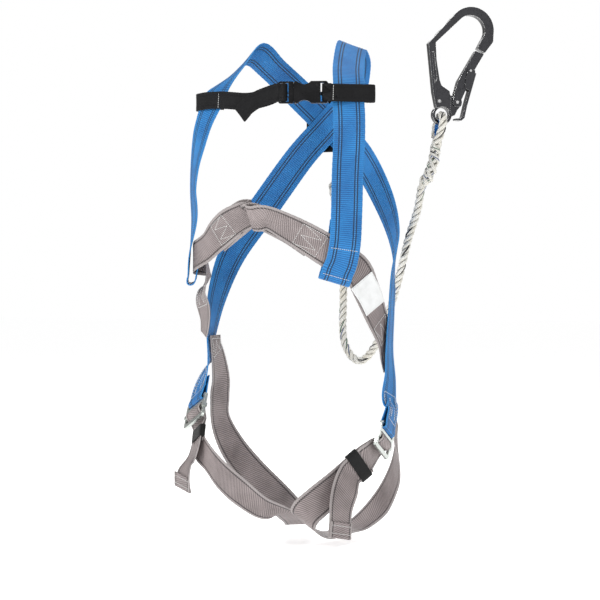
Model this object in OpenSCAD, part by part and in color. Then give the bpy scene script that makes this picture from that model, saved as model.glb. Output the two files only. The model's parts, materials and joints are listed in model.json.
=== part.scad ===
/* [Wearer] */
// Width of the trunk at the hips
hip_w = 296; // [290:1:302]
// Depth of the trunk at the hips
hip_d = 230; // [226:1:234]
// Width of the trunk at the waist
waist_w = 268; // [264:1:272]
// Depth of the trunk at the waist
waist_d = 196; // [192:1:200]
// Width of the trunk at the chest
chest_w = 318; // [314:1:322]
// Depth of the trunk at the chest
chest_d = 234; // [230:1:238]

/* [Webbing] */
// Width of the load-bearing webbing
web_w = 45; // [43:0.5:47]
// Thickness of all webbing
web_t = 1.6; // [1.2:0.1:1.8]
// Width of the chest strap webbing
chest_web_w = 25; // [23:0.5:26]

/* [Chest buckle] */
// Width of the side-release buckle's shell
shell_w = 31; // [30:0.5:33]
// Thickness of the side-release buckle's shell
shell_t = 11; // [10.5:0.5:12]
// How far the male half pulls out when it is released
release_travel = 24; // [10:1:28]
// How far each release arm bends inward, in degrees
arm_bend = 5; // [1:0.5:6]

/* [Leg buckles] */
// Width of the leg buckle's frame
frame_w = 64; // [63:0.5:66]
// Height of the leg buckle's frame
frame_h = 38; // [37:0.5:40]
// Diameter of the round bars
bar_d = 5.5; // [5:0.5:6]
// How far the sliding bar moves in its slots
bar_travel = 1.5; // [1:0.5:2]

/* [Back ring] */
// Height of the back ring's hinge above the hips
ring_z = 492; // [486:1:498]
// Diameter of the ring's hinge bar and of its bow
ring_rod_d = 10; // [9:0.5:11]
// Angle at which the ring stands off the back, in degrees
ring_stand = 38; // [34:1:42]

/* [Lanyard] */
// Diameter of the three-strand rope
rope_d = 12; // [11:0.5:12.5]
// Diameter of the connector's rod
link_d = 10; // [9:0.5:11]

/* [Scaffold hook] */
// Radius of the hook's seat
seat_r = 22; // [20:0.5:22.5]
// Thickness of the hook's forged bow
hook_t = 12; // [11:0.5:13]
// Angle to which the gate opens inward, in degrees
gate_open = 28; // [10:1:28]
// Angle through which the lock lever is squeezed, in degrees
lever_squeeze = 3; // [2:1:3]

/* [Hidden] */

$fn = 48;
clear = 0.05;
steps = 5;

// ---------- vectors ----------
function unit(v) = v / norm(v);
function facing(turn, rise = 0) = [sin(turn) * cos(rise), -cos(turn) * cos(rise), sin(rise)];

// ---------- the wearer's trunk, as a stack of ellipses ----------
waist_z = 120;
ribs_z = 250;
chest_z = 350;
armpit_z = 450;
collar_z = 520;
shoulder_z = 576;
function half_width(z) = lookup(z, [
    [0, hip_w / 2], [waist_z, waist_w / 2], [ribs_z, waist_w / 2 + 10],
    [chest_z, chest_w / 2], [armpit_z, chest_w / 2 + 6], [collar_z, chest_w / 2 - 6]]);
function half_depth(z) = lookup(z, [
    [0, hip_d / 2], [waist_z, waist_d / 2], [ribs_z, waist_d / 2 + 10],
    [chest_z, chest_d / 2], [armpit_z, chest_d / 2 - 12], [collar_z, chest_d / 2 - 36]]);
function mid_y(z) = lookup(z, [[0, 5], [waist_z, 0], [chest_z, 0], [armpit_z, 5], [collar_z, 14]]);

// A strap's path is a list of [point, outward direction].
// A point on the trunk at a height, an angle round it (0 is the front) and a height off it
function on_trunk(turn, z, lift) =
    let(a = half_width(z), b = half_depth(z), n = unit([sin(turn) / a, -cos(turn) / b, 0]))
    [[a * sin(turn), mid_y(z) - b * cos(turn), z] + n * lift, n];
// The same, placed by its sideways distance from the middle, on the front or on the back
function on_front(x, z, lift) = on_trunk(asin(x / half_width(z)), z, lift);
function on_back(x, z, lift) = on_trunk(180 - asin(x / half_width(z)), z, lift);
// A free point, with the direction it faces
function at(x, y, z, turn, rise = 0) = [[x, y, z], facing(turn, rise)];
// The same place on the other side of the fabric
function inside(s) = [s[0], -s[1]];
// A fold that turns the strap back on itself, towards the body, with a straight piece each side
lead_in = 8;
function fold_in(s, along, r) = let(d = unit(along)) [
    [s[0] - d * lead_in, s[1]],
    s,
    [s[0] - s[1] * r * 0.3 + d * r * 0.8, unit(s[1] + d)],
    [s[0] - s[1] * r + d * r * 1.1, d],
    [s[0] - s[1] * r * 1.7 + d * r * 0.8, unit(d - s[1])],
    [s[0] - s[1] * r * 2, -s[1]],
    [s[0] - s[1] * r * 2 - d * lead_in, -s[1]]];
function reversed(list) = [for (i = [len(list) - 1 : -1 : 0]) list[i]];

// ---------- smooth paths ----------
function clamp_index(i, n) = min(max(i, 0), n - 1);
function spline(a, b, c, d, t) =
    0.5 * (2 * b + (c - a) * t + (2 * a - 5 * b + 4 * c - d) * t * t
        + (3 * b - a - 3 * c + d) * t * t * t);
function smooth(path) = let(n = len(path)) [
    for (i = [0 : n - 2], k = [0 : steps - 1])
        [for (j = [0, 1]) spline(path[clamp_index(i - 1, n)][j], path[i][j],
            path[i + 1][j], path[clamp_index(i + 2, n)][j], k / steps)],
    path[n - 1]];
function heading(path, i) = let(n = len(path))
    unit(path[clamp_index(i + 1, n)][0] - path[clamp_index(i - 1, n)][0]);

// A flat strap along a path
module ribbon(path, width, thickness = web_t) {
    line = smooth(path);
    n = len(line);
    corners = [for (i = [0 : n - 1])
        let(t = heading(line, i),
            w = unit(cross(line[i][1], t)) * width / 2,
            f = unit(cross(t, w)) * thickness / 2)
        each [line[i][0] - w - f, line[i][0] + w - f, line[i][0] + w + f, line[i][0] - w + f]];
    skin(corners, n, 4);
}

// A round rope along a path
module cord(path, diameter, sides = 10) {
    line = smooth(path);
    n = len(line);
    corners = [for (i = [0 : n - 1])
        let(t = heading(line, i), w = unit(cross(line[i][1], t)), f = cross(t, w))
        each [for (k = [0 : sides - 1])
            line[i][0] + (w * cos(k * 360 / sides) + f * sin(k * 360 / sides)) * diameter / 2]];
    skin(corners, n, sides);
}

// Closes a row of equal rings of points into a solid
module skin(corners, rows, sides) {
    around = [for (r = [0 : rows - 2], k = [0 : sides - 1])
        let(a = r * sides + k, b = r * sides + (k + 1) % sides)
        each [[a, a + sides, b + sides], [a, b + sides, b]]];
    first = [for (k = [1 : sides - 2]) [0, k, k + 1]];
    last = [for (k = [1 : sides - 2])
        [(rows - 1) * sides, (rows - 1) * sides + k + 1, (rows - 1) * sides + k]];
    polyhedron(corners, concat(first, around, last));
}

// ---------- leg buckles: places and directions ----------
function buckle_c(side) = side > 0 ? [147, -26, 6] : [-141, -52, 42];
function buckle_turn(side) = side > 0 ? 92 : -44;
function buckle_rise(side) = side > 0 ? -8 : 20;
function buckle_roll(side) = -24 * side;
function buckle_up(side) = let(t = buckle_turn(side), r = buckle_rise(side))
    -[cos(t), sin(t), 0] * sin(buckle_roll(side))
    + [-sin(r) * sin(t), sin(r) * cos(t), cos(r)] * cos(buckle_roll(side));
function near_buckle(side, y, z, tilt = 0) =
    let(up = buckle_up(side), n = facing(buckle_turn(side), buckle_rise(side)))
    [buckle_c(side) + up * y + n * z, n * cos(tilt) + up * sin(tilt)];
// Frame, from the bottom: bottom rail, window, middle rail, slot and top rail
bottom_rail = 6;
window_h = frame_h - 19;
middle_rail = 4;
slot_h = 5;
frame_t = 4;
frame_foot = -20;
bar_y = frame_foot + bottom_rail + window_h * 0.64;
slot_y = frame_foot + bottom_rail + window_h + middle_rail + slot_h / 2;

// ---------- strap paths ----------
// How far the layers lie off the trunk where straps cross
back_layer = 0;
mid_layer = 6.5;
front_layer = 14;
chest_strap_z = 495;

// The sewn turn of a shoulder strap round a leg buckle's top rail
function rail_turn(side) = [
    near_buckle(side, slot_y + 34, 0.4),
    near_buckle(side, slot_y + 12, 3.2),
    near_buckle(side, slot_y + 4, 4.6),
    near_buckle(side, slot_y + 1.2, 3.2, -45),
    near_buckle(side, slot_y, 0, -90),
    near_buckle(side, slot_y + 1.2, -3.2, -135),
    near_buckle(side, slot_y + 4, -4.6, -180),
    near_buckle(side, slot_y + 12, -3.4, -180),
    near_buckle(side, slot_y + 40, -2.2, -180)];

function left_shoulder_path() = concat(
    [inside(on_front(110, 315, back_layer + 3)), inside(on_front(106, 285, back_layer)),
     inside(on_front(101, 258, back_layer))],
    reversed(fold_in(on_front(94, 236, front_layer), [-0.35, 0, -1], (front_layer - back_layer) / 2)),
    [on_front(101, 258, front_layer + 1), on_front(106, 285, front_layer + 1), on_front(111, 325, mid_layer),
     on_front(113, 375, 4), on_front(113, 425, 4), on_front(110, 462, mid_layer),
     on_front(106, chest_strap_z - 12, mid_layer + 2), at(108, -61, chest_strap_z + 14, 28, 10),
     at(97, -36, 538, 30, 36), at(82, 10, shoulder_z - 4, 60, 62), at(70, 58, 556, 158, 42),
     on_back(42, 510, 6), on_back(0, 468, 3), on_back(-48, 420, 4), on_back(-96, 350, 4),
     on_back(-130, 280, 2), on_trunk(-99, 215, 0), on_trunk(-84, 160, 1),
     on_trunk(-74, 115, 2)],
    rail_turn(-1));

function right_shoulder_path() = concat(
    [inside(at(-133, -43, 300, -62)), inside(at(-137, -45, 272, -64))],
    reversed(fold_in(at(-156, -50, 234, -64), [-0.2, 0, -1], 6)),
    [at(-150, -54, 272, -64), at(-143, -53, 322, -52),
     at(-146, -51, 366, -52), at(-138, -60, 404, -47), on_front(-123, 440, 4),
     on_front(-113, 466, mid_layer), on_front(-105, chest_strap_z - 12, mid_layer + 2),
     at(-96, -64, chest_strap_z + 14, -26, 10), at(-84, -32, 538, -40, 30),
     at(-77, 14, 568, -72, 42), at(-68, 58, 550, -150, 42),
     on_back(-40, 510, 10), on_back(0, 468, 9), on_back(46, 420, 10), on_back(92, 350, 6),
     on_back(126, 290, 3), on_trunk(102, 235, 1), on_trunk(99, 185, 3),
     on_trunk(97, 135, 5), on_trunk(92, 95, 7), on_trunk(86, 62, 6)],
    rail_turn(1));

// The front loop of a chest strap, and the fold at its end
function left_chest_path() = concat(
    [inside(at(68, -100, 284, 28, -22)), inside(at(40, -112, 301, 20, -34))],
    reversed(fold_in(at(-12, -131, 318, 2, -40), [-1, 0, 0.05], 3.2)),
    [at(12, -129, 319, 8, -42), at(38, -122, 307, 18, -36), at(68, -106, 288, 28, -22),
     on_front(92, 268, mid_layer + 1), on_trunk(54, 247, mid_layer + 1), on_trunk(63, 219, 4.4),
     on_trunk(73, 187, 3), on_trunk(88, 153, 0), on_trunk(96, 125, -1), on_trunk(99, 106, -1)]);

function right_chest_path() = concat(
    [inside(at(-82, -96, 293, -34, -16)), inside(at(-54, -109, 310, -22, -28))],
    reversed(fold_in(at(-18, -118.5, 325, -4, -40), [1, 0, 0.1], 2.6)),
    [at(-52, -113, 314, -22, -34), at(-80, -101, 297, -34, -20), at(-104, -89, 280, -46, -6),
     at(-131, -73, 269, -58), at(-146, -49, 266, -64), at(-156, -30, 265, -68),
     at(-158, -18, 264, -110), at(-151, -12, 263, -180),
     inside(at(-142, -16, 261, -92)), inside(at(-133, -28, 254, -76)), inside(at(-131, -40, 232, -60)),
     inside(at(-136, -46, 212, -46)), inside(at(-131, -46, 192, -40)), inside(at(-130, -44, 172, -46)),
     inside(at(-133, -42, 154, -52))]);

// Keepers: where they hold the two layers of a leg strap together
function keeper_c(side) = side > 0 ? [124, -64, -29] : [-131, -62, 8];
function keeper_turn(side) = side > 0 ? 43 : -50;
function keeper_rise(side) = side > 0 ? -22 : 10;
// Direction of the strap through the keeper, down towards the leg
function keeper_way(side) = side > 0 ? unit([-0.6, -0.5, -0.63]) : unit([0.08, -0.36, -0.92]);
function in_keeper(side, along, off) = let(
    k = keeper_way(side), n0 = facing(keeper_turn(side), keeper_rise(side)),
    n = unit(n0 - k * (n0 * k)))
    [keeper_c(side) + k * along + n * off, n];

// The strap's turn round the sliding bar, from the load side to the tail side
function bar_turn(side) = [
    near_buckle(side, frame_foot + 2, -9.6),
    near_buckle(side, bar_y - 3, -5.6),
    near_buckle(side, bar_y + 3.2, -3.6, -50),
    near_buckle(side, bar_y + 5, 0, -90),
    near_buckle(side, bar_y + 3.4, 3.6, -130),
    near_buckle(side, bar_y - 2, 4.8, -185),
    near_buckle(side, bar_y - 8, 0.6, -228),
    near_buckle(side, frame_foot + 3, -7.6, -185)];

// The leg strap: side seam, behind the thigh, between the legs, up the groin, through the keeper,
// round the buckle's sliding bar, back through the keeper, and a tail with a folded end
function left_leg_path() = concat(
    [on_trunk(104, 96, -1), on_trunk(106, 60, -1), at(140, 34, 14, 104), at(133, 58, -18, 122),
     at(116, 86, -56, 144, -10), at(86, 104, -100, 166, -30), at(62, 74, -130, 180, -70),
     at(56, 10, -134, 180, -80), at(54, -50, -126, -70, -62), at(50, -84, -110, -40, -40),
     at(56, -96, -96, 5, -12), at(76, -97, -78, 24, -8), at(97, -84, -57, 36, -16)],
    [in_keeper(1, 21, -2), in_keeper(1, 7, -2), in_keeper(1, -7, -2), in_keeper(1, -16, -2)],
    bar_turn(1),
    [inside(in_keeper(1, -16, 1.4)), inside(in_keeper(1, -7, 1.4)), inside(in_keeper(1, 7, 1.4)),
     inside(in_keeper(1, 18, 3)), inside(at(115, -90, -60, 58, 4)), inside(at(113, -100, -84, 70, 12)),
     inside(at(114, -106, -110, 74, 16)), inside(at(114, -109, -126, 74, 16))]);

function right_leg_path() = concat(
    [on_trunk(-84, 152, -5), on_trunk(-85, 132, -5), on_trunk(-92, 108, -4), on_trunk(-98, 84, -2),
     on_trunk(-100, 56, 0), at(-144, 34, 20, -102), at(-136, 60, -20, -120),
     at(-118, 88, -58, -146, -10), at(-80, 102, -98, -168, -30), at(-34, 70, -122, 180, -70),
     at(-2, 12, -124, 180, -84), at(12, -36, -112, 0, -80), at(12, -70, -100, 0, -60),
     at(-12, -92, -92, -6, -30), at(-42, -101, -70, -16, -8), at(-77, -93, -48, -32),
     at(-106, -82, -24, -44)],
    [in_keeper(-1, 17, -2), in_keeper(-1, 5, -2), in_keeper(-1, -7, -2.4)],
    bar_turn(-1),
    [inside(in_keeper(-1, -7, 1)), inside(in_keeper(-1, 5, 1.4)),
     inside(in_keeper(-1, 18, 3)), inside(at(-142, -64, -26, -60, -4)), inside(at(-153, -66, -50, -44, -14)),
     inside(at(-156, -62, -72, -36, -18))]);

// ---------- chest strap ----------
// The chest buckle lies across the breastbone, nearer to the left shoulder strap
function buckle_at(x, off, tilt = 0) =
    [[54, -96, 496] + [cos(20), sin(20), 0] * x + facing(20) * off,
     facing(20) * cos(tilt) + [cos(20), sin(20), 0] * sin(tilt)];
module on_buckle() {
    translate([54, -96, 496]) rotate([0, 0, 20]) rotate([90, 0, 0]) children();
}
// Places along the buckle, from the plug's outer end to the shell's outer end
plug_end = -36;
shell_mouth = -14;
shell_end = 34;
shell_bar_x = shell_end - 3.5;
ladder_bar_x = plug_end + 8;

// The webbing sewn round the left shoulder strap, and its turn through the shell's end bar
function left_tie_path() = concat(
    [inside(on_front(90, chest_strap_z, back_layer)), inside(on_front(104, chest_strap_z, back_layer))],
    reversed(fold_in(on_front(128.5, chest_strap_z, front_layer + 3), [1, 0.9, 0], 6)),
    [on_front(106, chest_strap_z, front_layer + 3), at(93, -87, chest_strap_z, 34),
     buckle_at(shell_bar_x + 7, 3.6), buckle_at(shell_bar_x, 4.4), buckle_at(shell_bar_x - 4.4, 0, -90),
     buckle_at(shell_bar_x, -4.4, -180), buckle_at(shell_bar_x + 6, -3.6, -180)]);

// The webbing sewn round the right shoulder strap, as far as its free run
function right_tie_path() = concat(
    [inside(on_front(-88, chest_strap_z - 3, back_layer)),
     inside(on_front(-102, chest_strap_z - 2, back_layer))],
    reversed(fold_in(on_front(-126, chest_strap_z - 2, front_layer + 3), [-1, 0.9, 0], 6.8)),
    [on_front(-104, chest_strap_z - 2, front_layer + 3), on_front(-76, chest_strap_z - 4, 15),
     on_front(-50, chest_strap_z - 7, 10)]);

// The free run that carries the plug: over the ladder bar and back as a tail
function plug_run_path() = [
    at(-16, -101, 488, 4), at(2, -106, 491, 10), buckle_at(plug_end - 3, -4),
    buckle_at(ladder_bar_x - 5, -4.6), buckle_at(ladder_bar_x, -4.6), buckle_at(ladder_bar_x + 4, 0, 90),
    buckle_at(ladder_bar_x, 4.6, 180), buckle_at(ladder_bar_x - 6, 4.6, 180),
    buckle_at(plug_end - 2, 4.4, 180),
    inside(at(2, -111, 492, 10)), inside(at(-14, -109, 487, 2)), inside(at(-30, -107, 478, -4)),
    inside(at(-42, -105, 468, -8))];

// ---------- rope ----------
hook_eye = [185, 100, 475];
hook_turn = 38;
rope_up = unit([6.65, 5.2, 47]);
hook_loop_r = 17;
ring_axis_y = 130;
ring_side = 14;
ring_r = 27;
rod_y = ring_axis_y + (ring_side + ring_r) * sin(ring_stand);
rod_z = ring_z - (ring_side + ring_r) * cos(ring_stand);
link_r = 18;
link_straight = 60;
link_top = rod_z + ring_rod_d / 2 + link_d / 2 + 0.4 - link_r;
link_foot = link_top - link_straight;
link_loop_r = link_d / 2 + rope_d / 2 + 3;
rope_gap = rope_d / 2 + 0.4;
hook_loop_c = hook_eye - rope_up * hook_loop_r;
link_loop_c = [0, rod_y, link_foot - link_r];

// A rope eye: up one side, over and down the other, in the plane of side and up
function eye_loop(c, side, up, r, n) = [for (a = [0 : 30 : 180]) [c + (side * cos(a) + up * sin(a)) * r, n]];
function lanyard_path() = let(
    e = facing(hook_turn), n1 = [cos(hook_turn), sin(hook_turn), 0], n2 = [0, 1, 0])
    concat(
    [[hook_loop_c - e * rope_gap - rope_up * 84, n1], [hook_loop_c - e * rope_gap - rope_up * 58, n1],
     [hook_loop_c - e * (rope_gap + 1) - rope_up * 32, n1]],
    reversed(eye_loop(hook_loop_c, e, rope_up, hook_loop_r, n1)),
    [[hook_loop_c + e * (rope_gap + 1) - rope_up * 32, n1], [hook_loop_c + e * rope_gap - rope_up * 58, n1],
     [[158, 94, 374], n1], [[146, 103, 335], n1], [[130, 107, 293], n1], [[108, 112, 219], n1],
     [[76, 128, 148], n2], [[38, 142, 112], n2], [[8, 150, 140], n2], [[4, rod_y, 210], n2],
     [link_loop_c + [rope_gap, 0, -70], n2], [link_loop_c + [rope_gap + 1, 0, -32], n2]],
    eye_loop(link_loop_c, [1, 0, 0], [0, 0, 1], link_loop_r, n2),
    [[link_loop_c + [-rope_gap - 1, 0, -32], n2], [link_loop_c + [-rope_gap, 0, -62], n2],
     [link_loop_c + [-rope_gap, 0, -88], n2]]);

// A thimble: a strip that lines the inside of a rope eye
thimble_t = 1.2;
module thimble(c, side, up, r) {
    inner = r - rope_d / 2 - 0.8 - thimble_t / 2;
    loop = [for (a = [-20 : 20 : 200]) let(d = side * cos(a) + up * sin(a)) [c + d * inner, d]];
    foot = c - up * (inner + 6);
    ribbon(concat([[foot + side * 1.6, side]], loop, [[foot - side * 1.6, -side]]), 8, thimble_t);
}

// ---------- small shapes ----------
module rounded(w, h, r) {
    square([w - 2 * r, h], center = true);
    square([w, h - 2 * r], center = true);
    for (x = [-1, 1], y = [-1, 1])
        translate([x * (w / 2 - r), y * (h / 2 - r)]) circle(r);
}
module slab(t) {
    translate([0, 0, -t / 2]) linear_extrude(t) children();
}
module at_leg_buckle(side) {
    translate(buckle_c(side)) rotate([0, 0, buckle_turn(side)]) rotate([90 - buckle_rise(side), 0, 0])
        rotate([0, 0, buckle_roll(side)]) children();
}

// ---------- fabric parts ----------
blue = [0.12, 0.47, 0.78];
mauve = [0.58, 0.54, 0.54];
black = [0.1, 0.1, 0.1];
gunmetal = [0.2, 0.2, 0.2];
zinc = [0.75, 0.78, 0.76];

module shoulder_strap_left() { color(blue) ribbon(left_shoulder_path(), web_w); }
module shoulder_strap_right() { color(blue) ribbon(right_shoulder_path(), web_w); }
module chest_loop_left() { color(mauve) ribbon(left_chest_path(), web_w); }
module chest_loop_right() { color(mauve) ribbon(right_chest_path(), web_w); }
module leg_strap_left() { color(mauve) ribbon(left_leg_path(), web_w); }
module leg_strap_right() { color(mauve) ribbon(right_leg_path(), web_w); }
module chest_tie_left() { color(black) ribbon(left_tie_path(), chest_web_w); }
module chest_tie_right() { color(black) ribbon(right_tie_path(), chest_web_w); }
module chest_tie_run() { color(black) ribbon(plug_run_path(), chest_web_w); }
module lanyard_rope() { color("white") cord(lanyard_path(), rope_d); }
module thimble_hook_end() {
    color(blue) thimble(hook_loop_c, facing(hook_turn), rope_up, hook_loop_r);
}
module thimble_link_end() {
    color(blue) thimble(link_loop_c, [1, 0, 0], [0, 0, 1], link_loop_r);
}

// A blank cloth label, stitched to the left chest strap below the shoulder strap
module blank_label() {
    color("white") ribbon([on_trunk(58, 232, 8.2), on_trunk(65.8, 210, 7.2), on_trunk(71.4, 192, 6)],
        web_w - 4, 0.8);
}

// ---------- chest buckle ----------
arm_pivot_x = shell_mouth + 1;
arm_pivot_y = 8.6;
arm_r = 2.1;
arm_t = 4;
arm_reach = 22;
module buckle_shell() {
    color(black) on_buckle() difference() {
        slab(shell_t) difference() {
            translate([(shell_mouth + shell_end) / 2, 0]) rounded(shell_end - shell_mouth, shell_w, 3);
            for (y = [-1, 1]) translate([shell_mouth + 14.5, y * (shell_w / 2 + 8.6)]) circle(13);
            translate([shell_bar_x - 4.1, 0]) square([6, chest_web_w + 1.6], center = true);
        }
        translate([shell_mouth - 1, -11.4, -arm_t / 2 - 0.3]) cube([30, 22.8, arm_t + 0.6]);
        for (z = [-1, 1]) translate([shell_end - 2.5, 0, z * (shell_t / 2 + 0.6)])
            cube([18, chest_web_w + 1.6, 7], center = true);
    }
}
module buckle_plug() {
    tongue_w = 5.6;
    color(black) on_buckle() difference() {
        union() {
            slab(5) difference() {
                translate([(plug_end + shell_mouth - 0.4) / 2, 0])
                    rounded(shell_mouth - 0.4 - plug_end, shell_w, 2.4);
                for (x = [-1, 1]) translate([ladder_bar_x + x * 4.1, 0])
                    square([4.5, chest_web_w + 1.6], center = true);
            }
            slab(arm_t) {
                translate([shell_mouth - 2, -tongue_w / 2]) square([arm_reach, tongue_w]);
                translate([shell_mouth - 3, -11]) square([3.4, 22]);
            }
        }
        for (y = [-1, 1]) translate([arm_pivot_x, y * arm_pivot_y, -6]) {
            cylinder(r = arm_r + clear, h = 12);
            translate([-0.2, -2, 0]) cube([6, 4, 12]);
        }
    }
}
// A spring arm of the plug, bent inward to release it
module buckle_arm(side) {
    color(black) on_buckle() mirror([0, side < 0 ? 1 : 0, 0]) slab(arm_t) {
        translate([arm_pivot_x, arm_pivot_y]) circle(arm_r);
        translate([arm_pivot_x, arm_pivot_y - 1.3]) square([arm_reach - 5, 2.6]);
        translate([arm_pivot_x + 6, arm_pivot_y - 2]) square([arm_reach - 8, 4.2]);
        translate([arm_pivot_x + arm_reach - 4, arm_pivot_y]) circle(2.2);
    }
}

// ---------- leg buckles ----------
window_w = frame_w - 12;
module leg_buckle_frame(side) {
    color(zinc) at_leg_buckle(side) slab(frame_t) difference() {
        translate([0, frame_foot + frame_h / 2 + 0.5]) rounded(frame_w, frame_h + 1, 5);
        translate([0, frame_foot + bottom_rail + window_h / 2]) rounded(window_w, window_h, 1.5);
        translate([0, slot_y]) rounded(window_w, slot_h, 1.5);
    }
}
module leg_buckle_bar(side) {
    clip_w = 6 + 2.4;
    color(zinc) at_leg_buckle(side) translate([0, bar_y, 0]) {
        rotate([0, 90, 0]) cylinder(d = bar_d, h = window_w - 2, center = true);
        for (x = [-1, 1]) translate([x * (window_w / 2 + 3), 0, 0]) difference() {
            cube([clip_w, bar_d, frame_t + 2.4], center = true);
            cube([6 + 2 * clear, bar_d + 2, frame_t + 2 * clear], center = true);
        }
    }
}
module strap_keeper(side) {
    k = keeper_way(side);
    n = in_keeper(side, 0, 0)[1];
    turn = atan2(n[0], -n[1]);
    rise = asin(n[2]);
    // angle of the strap's own line within the keeper's face
    across = [cos(turn), sin(turn), 0];
    upward = cross(n, across);
    roll = atan2(-k * across, -k * upward);
    color(black) translate(keeper_c(side)) rotate([0, 0, turn]) rotate([90 - rise, 0, 0])
        rotate([0, 0, -roll]) difference() {
            slab(12.8) square([web_w + 9.6, 18], center = true);
            cube([web_w + 6, 20, 10.4], center = true);
        }
}

// ---------- back plate and ring ----------
plate_y = 121;
plate_t = 3;
module dorsal_plate() {
    color(black) difference() {
        union() {
            translate([0, plate_y + plate_t / 2, 474]) rotate([90, 0, 0]) slab(plate_t) difference() {
                rounded(84, 92, 14);
                for (x = [-1, 1]) translate([x * 30, -2]) rounded(5, 50, 2);
            }
            for (x = [-1, 1]) translate([x * 14, 0, ring_z]) {
                rotate([0, 90, 0]) translate([0, ring_axis_y, 0])
                    cylinder(d = ring_rod_d + 7, h = 10, center = true);
                translate([-5, plate_y + 1, -ring_rod_d / 2 - 3.5])
                    cube([10, ring_axis_y - plate_y - 1, ring_rod_d + 7]);
            }
        }
        translate([0, ring_axis_y, ring_z]) rotate([0, 90, 0])
            cylinder(d = ring_rod_d + 2 * clear, h = 90, center = true);
    }
}
module dorsal_ring() {
    color(zinc) translate([0, ring_axis_y, ring_z]) rotate([ring_stand, 0, 0]) {
        rotate([0, 90, 0]) cylinder(d = ring_rod_d, h = 2 * ring_r, center = true);
        for (x = [-1, 1]) translate([x * ring_r, 0, 0]) {
            sphere(d = ring_rod_d);
            translate([0, 0, -ring_side]) cylinder(d = ring_rod_d, h = ring_side);
        }
        translate([0, 0, -ring_side]) rotate([90, 0, 0]) rotate([0, 0, 180])
            rotate_extrude(angle = 180) translate([ring_r, 0]) circle(d = ring_rod_d);
    }
}

// ---------- connector ----------
gate_foot = link_foot + 6;
// Diameter of the gate's rounded foot, which clears the stub below it as the gate turns
knuckle_d = 7.4;
gate_head = link_top - 8;
gate_y = rod_y + link_r;
pin_d = 3;
module link_arc(z, turn) {
    translate([0, rod_y, z]) rotate([turn, 0, 0]) rotate([90, 0, 90])
        rotate_extrude(angle = 180) translate([link_r, 0]) circle(d = link_d);
}
module link_body() {
    color(zinc) difference() {
        union() {
            link_arc(link_top, 0);
            link_arc(link_foot, 180);
            translate([0, rod_y - link_r, link_foot]) cylinder(d = link_d, h = link_straight);
            translate([0, gate_y, gate_head]) cylinder(d = link_d, h = link_top - gate_head);
            translate([0, gate_y, link_foot]) cylinder(d = link_d, h = 2);
            translate([-2, gate_y - 3.4, link_foot]) cube([4, 6.8, 8]);
        }
        translate([-10, gate_y, gate_foot]) rotate([0, 90, 0]) cylinder(d = pin_d, h = 20);
    }
}
module link_gate() {
    color(zinc) difference() {
        translate([0, gate_y, gate_foot]) {
            cylinder(d = link_d, h = gate_head - gate_foot - 0.3);
            rotate([0, 90, 0]) cylinder(d = knuckle_d, h = link_d - 1.4, center = true);
        }
        translate([-2.1, gate_y - 8, link_foot]) cube([4.2, 16, 12]);
        translate([-10, gate_y, gate_foot]) rotate([0, 90, 0]) cylinder(d = pin_d + 2 * clear, h = 20);
    }
}
module link_gate_pin() {
    color(zinc) translate([-link_d / 2 + 0.6, gate_y, gate_foot]) rotate([0, 90, 0])
        cylinder(d = pin_d, h = link_d - 1.2);
}
module link_sleeve() {
    sleeve_h = 22;
    color(gunmetal) translate([0, gate_y, gate_head - sleeve_h - 1]) difference() {
        cylinder(d = link_d + 5, h = sleeve_h);
        translate([0, 0, -1]) cylinder(d = link_d + 2 * clear, h = sleeve_h + 2);
    }
}

// ---------- scaffold hook ----------
// Drawn in the plane of the hook, with the middle of its eye at the origin
bow_c = [45, 125.5];
bow_r = seat_r + 12;
seat_c = [43.2, 125];
bar_slope = 136.5;
gate_pivot = [23.2, 19];
lever_pivot = [43, 65.5];
nose_inner = [53.6, 98];
nose_outer = [65.4, 92.2];
module in_hook() {
    translate(hook_eye) rotate([0, 0, hook_turn]) rotate([90, 0, 0]) children();
}
module hook_bow() {
    corner_out = [-20.9, 104.4];
    corner_in = [-9.9, 105.6];
    difference() {
        union() {
            translate(bow_c) circle(bow_r);
            polygon([corner_out, bow_c + bow_r * [cos(bar_slope), sin(bar_slope)],
                seat_c + (seat_r - 4) * [cos(bar_slope), sin(bar_slope)], corner_in]);
            polygon([bow_c + [bow_r, 0], bow_c + [bow_r - 1, -17], nose_outer, nose_inner, seat_c]);
            polygon([corner_out, corner_in, [-4, 51], [-1.2, 43], [11, 35], [13, 24], [12, 6],
                [-9.3, 10.4], [-13.9, 33.6]]);
        }
        translate(seat_c) circle(seat_r);
        polygon([seat_c + seat_r * [cos(bar_slope), sin(bar_slope)], corner_in, [-8.7, 80], [-4.1, 51],
            [-1.2, 43], [11, 35], [30, 30], [48, 88], nose_inner, [58, 106.7],
            seat_c + [seat_r, -4]]);
        polygon([[11, 35], [40, 100], nose_inner, nose_outer, [90, 80], [30, 10]]);
    }
}
module hook_body() {
    color(gunmetal) in_hook() difference() {
        union() {
            slab(hook_t) difference() {
                hook_bow();
                circle(12);
            }
            slab(10) circle(14.5);
            slab(6) polygon([[10, 30], [18, 28], [30, 24], [30.5, 15], [24, 8], [20, 0], [15, -2], [10, 4]]);
        }
        translate([0, 0, -10]) cylinder(r = 10.6, h = 20);
        translate([gate_pivot[0], gate_pivot[1], -10]) cylinder(d = 5, h = 20);
        translate([-4.9, 20, -10]) cylinder(d = 5, h = 20);
        for (z = [-1, 1]) translate([0, 0, z * (hook_t / 2 + 0.2)]) slab(2)
            polygon([[-16, 92], [-12.5, 92], [-8, 52], [-11.5, 46]]);
    }
}
gate_t = 11;
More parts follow.
